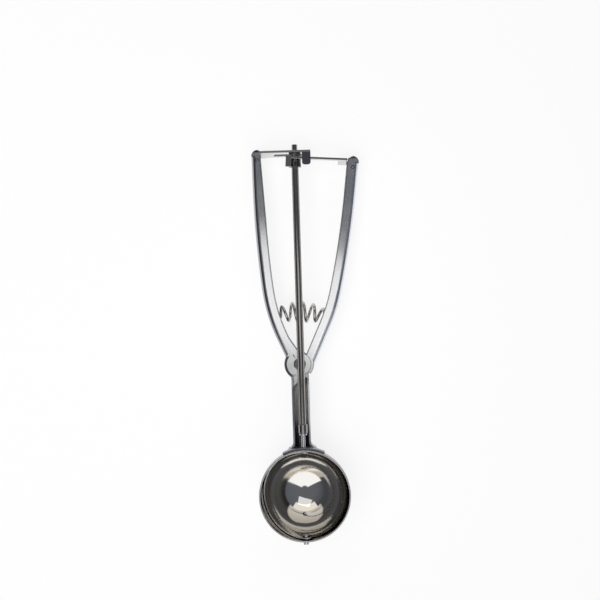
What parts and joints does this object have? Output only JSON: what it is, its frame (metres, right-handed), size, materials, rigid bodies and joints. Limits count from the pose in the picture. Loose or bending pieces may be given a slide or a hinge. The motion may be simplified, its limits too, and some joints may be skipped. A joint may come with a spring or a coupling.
{
  "type": "squeeze-handle ice cream scoop",
  "caption": "Round steel scoop bowl with a blade that sweeps it when two sprung handles are squeezed, driven by a rod and pinion between racks.",
  "frame": {"origin": "centre of the bowl's sphere, on the axis that the blade and the rod turn about", "axes": "+Y along the rod from the bowl to the handle ends, +Z out of the bowl's mouth, +X towards the moving handle"},
  "size_m": [0.0624, 0.2262, 0.0343],
  "materials": {
    "polished_steel": "mirror polished stainless steel",
    "turned_steel": "bright turned steel",
    "stamped_steel": "bright stamped sheet",
    "spring_wire": "drawn spring wire"
  },
  "bodies": {
    "frame": {"fixed_handle": "polished_steel", "bowl": "polished_steel", "pivot_rivet": "turned_steel", "blade_rivet": "turned_steel", "rear_rack": "stamped_steel", "rear_rack_pin": "turned_steel", "fixed_spring_seat": "turned_steel", "return_spring": "spring_wire"},
    "squeeze_handle": {"moving_handle": "polished_steel", "pivot_spacer": "turned_steel", "front_rack": "stamped_steel", "front_rack_pin": "turned_steel", "moving_spring_seat": "turned_steel"},
    "sleeve": {"rod_sleeve": "turned_steel"},
    "rod": {"drive_rod": "polished_steel", "pinion": "turned_steel"},
    "blade": {"blade": "polished_steel", "blade_stem": "turned_steel"}
  },
  "joints": [
    {"name": "squeeze", "type": "hinge", "parent": "frame", "child": "squeeze_handle", "pos_m": [-0.0007, 0.0735, -0.01], "axis": [0, 0, 1], "range_deg": [0, 7.35], "stiffness_Nm_per_rad": 4, "springref_deg": -11.46, "deforming": ["return_spring"]},
    {"name": "rod_lean", "type": "hinge", "parent": "frame", "child": "sleeve", "pos_m": [0, 0.0374, 0], "axis": [0, 0, 1], "range_deg": [0, 2.78]},
    {"name": "rod_spin", "type": "hinge", "parent": "sleeve", "child": "rod", "pos_m": [0, 0.0374, 0], "axis": [0, -1, 0], "range_deg": [0, 144]},
    {"name": "blade_sweep", "type": "hinge", "parent": "frame", "child": "blade", "pos_m": [0, 0, 0], "axis": [0, -1, 0], "range_deg": [0, 144]}
  ],
  "couplings": [
    {"joint": "rod_lean", "follows": "squeeze", "ratio": 0.37767},
    {"joint": "rod_spin", "follows": "squeeze", "ratio": 19.581},
    {"joint": "blade_sweep", "follows": "squeeze", "ratio": 19.581}
  ]
}
